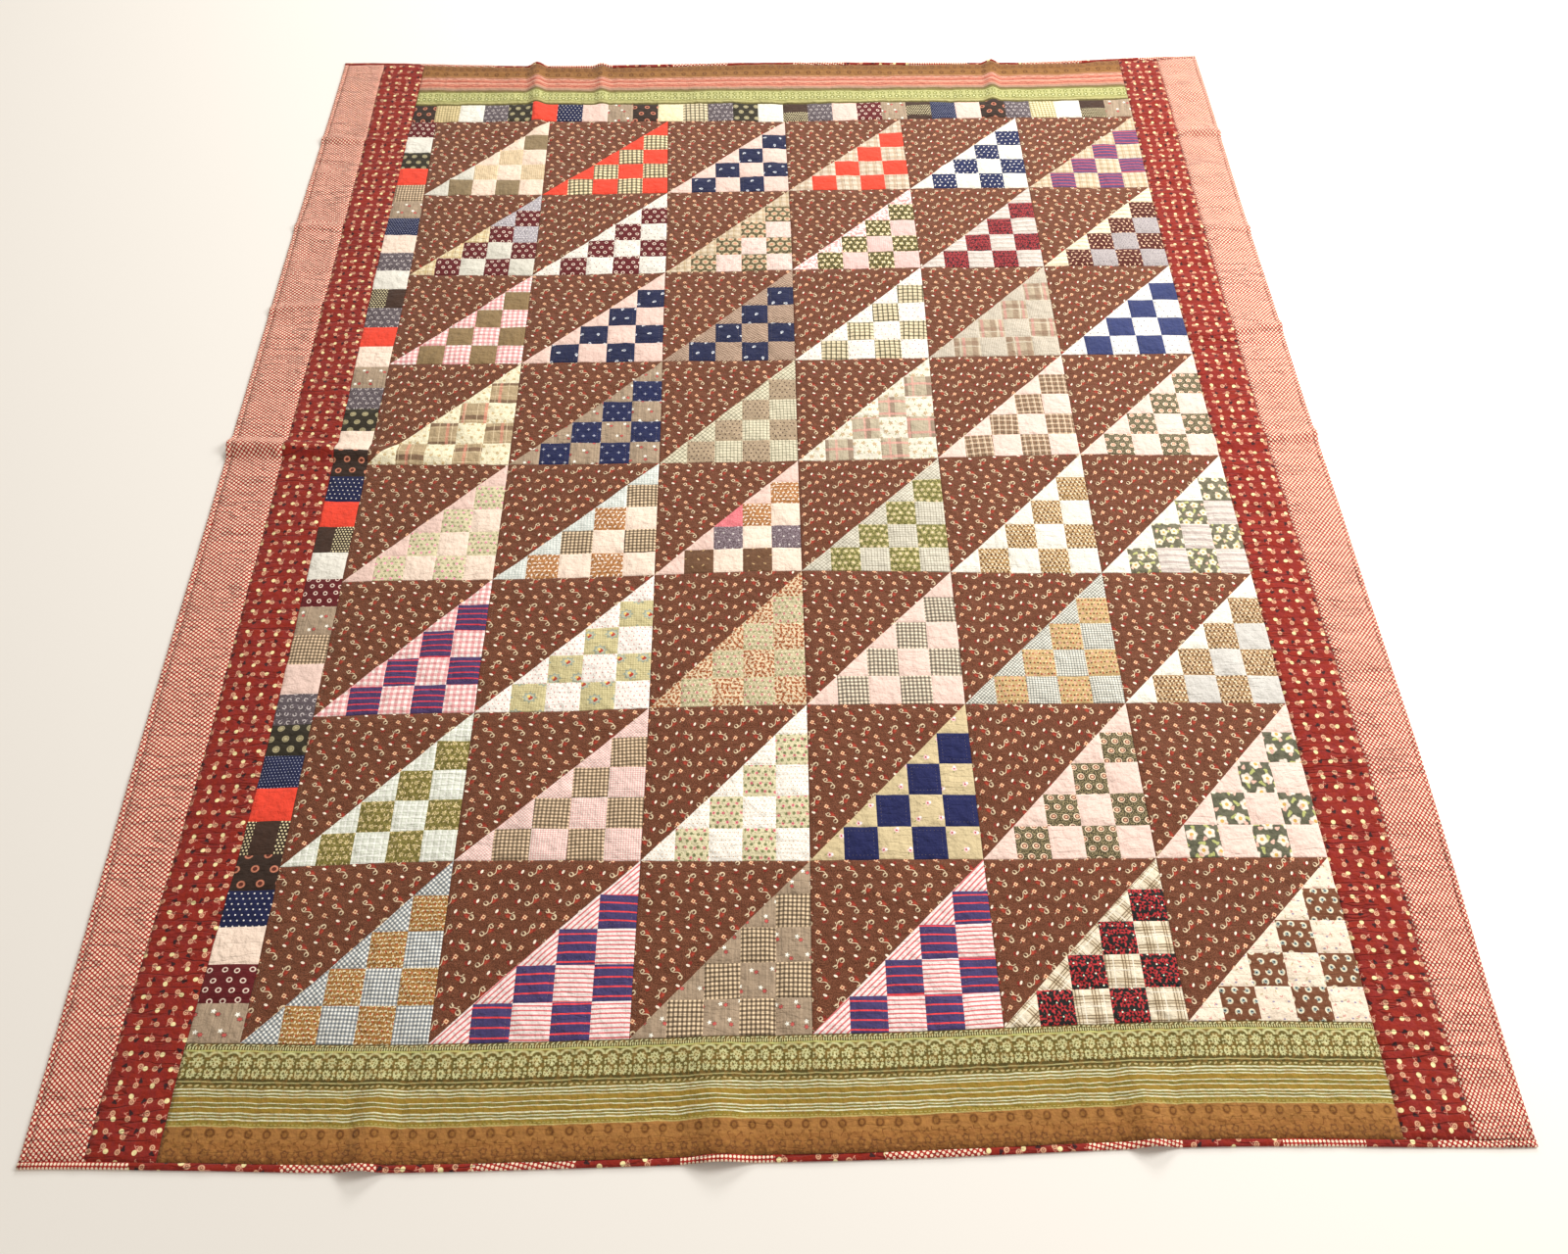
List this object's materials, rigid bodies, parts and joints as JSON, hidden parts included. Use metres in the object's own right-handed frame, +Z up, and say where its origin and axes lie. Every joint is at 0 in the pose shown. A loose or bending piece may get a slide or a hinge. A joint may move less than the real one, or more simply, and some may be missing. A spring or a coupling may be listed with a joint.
{
  "type": "patchwork quilt",
  "caption": "Large patchwork quilt spread flat: pieced blocks with checked triangles on brown, strips of little squares, printed borders and a narrow binding.",
  "frame": {"origin": "middle of the quilt's outline, on the floor it lies on", "axes": "+X across the quilt to its right side, +Y up the quilt to its top edge, +Z up out of the face"},
  "size_m": [1.779, 2.1812, 0.0166],
  "materials": {
    "block_cloth": "matte printed cotton, brown sprigged ground with checked triangles",
    "square_cloth": "matte printed cotton in many scraps",
    "red_print": "matte printed cotton, dark red with small cream sprigs",
    "dotted_print": "matte printed cotton, red with fine cream dots",
    "lace_stripe_print": "matte printed cotton, green lace and ochre stripes",
    "binding_cloth": "matte printed cotton, folded strip"
  },
  "bodies": {
    "root": {"block_r1_c1": "block_cloth", "block_r1_c2": "block_cloth", "block_r1_c3": "block_cloth", "block_r1_c4": "block_cloth", "block_r1_c5": "block_cloth", "block_r1_c6": "block_cloth", "block_r2_c1": "block_cloth", "block_r2_c2": "block_cloth", "block_r2_c3": "block_cloth", "block_r2_c4": "block_cloth", "block_r2_c5": "block_cloth", "block_r2_c6": "block_cloth", "block_r3_c1": "block_cloth", "block_r3_c2": "block_cloth", "block_r3_c3": "block_cloth", "block_r3_c4": "block_cloth", "block_r3_c5": "block_cloth", "block_r3_c6": "block_cloth", "block_r4_c1": "block_cloth", "block_r4_c2": "block_cloth", "block_r4_c3": "block_cloth", "block_r4_c4": "block_cloth", "block_r4_c5": "block_cloth", "block_r4_c6": "block_cloth", "block_r5_c1": "block_cloth", "block_r5_c2": "block_cloth", "block_r5_c3": "block_cloth", "block_r5_c4": "block_cloth", "block_r5_c5": "block_cloth", "block_r5_c6": "block_cloth", "block_r6_c1": "block_cloth", "block_r6_c2": "block_cloth", "block_r6_c3": "block_cloth", "block_r6_c4": "block_cloth", "block_r6_c5": "block_cloth", "block_r6_c6": "block_cloth", "block_r7_c1": "block_cloth", "block_r7_c2": "block_cloth", "block_r7_c3": "block_cloth", "block_r7_c4": "block_cloth", "block_r7_c5": "block_cloth", "block_r7_c6": "block_cloth", "block_r8_c1": "block_cloth", "block_r8_c2": "block_cloth", "block_r8_c3": "block_cloth", "block_r8_c4": "block_cloth", "block_r8_c5": "block_cloth", "block_r8_c6": "block_cloth", "squares_left": "square_cloth", "squares_top": "square_cloth", "border_red_left": "red_print", "border_red_right": "red_print", "border_dotted_left": "dotted_print", "border_dotted_right": "dotted_print", "border_striped_top": "lace_stripe_print", "border_striped_bottom": "lace_stripe_print", "binding_left": "binding_cloth", "binding_right": "binding_cloth", "binding_top": "binding_cloth", "binding_bottom": "binding_cloth"}
  },
  "joints": []
}
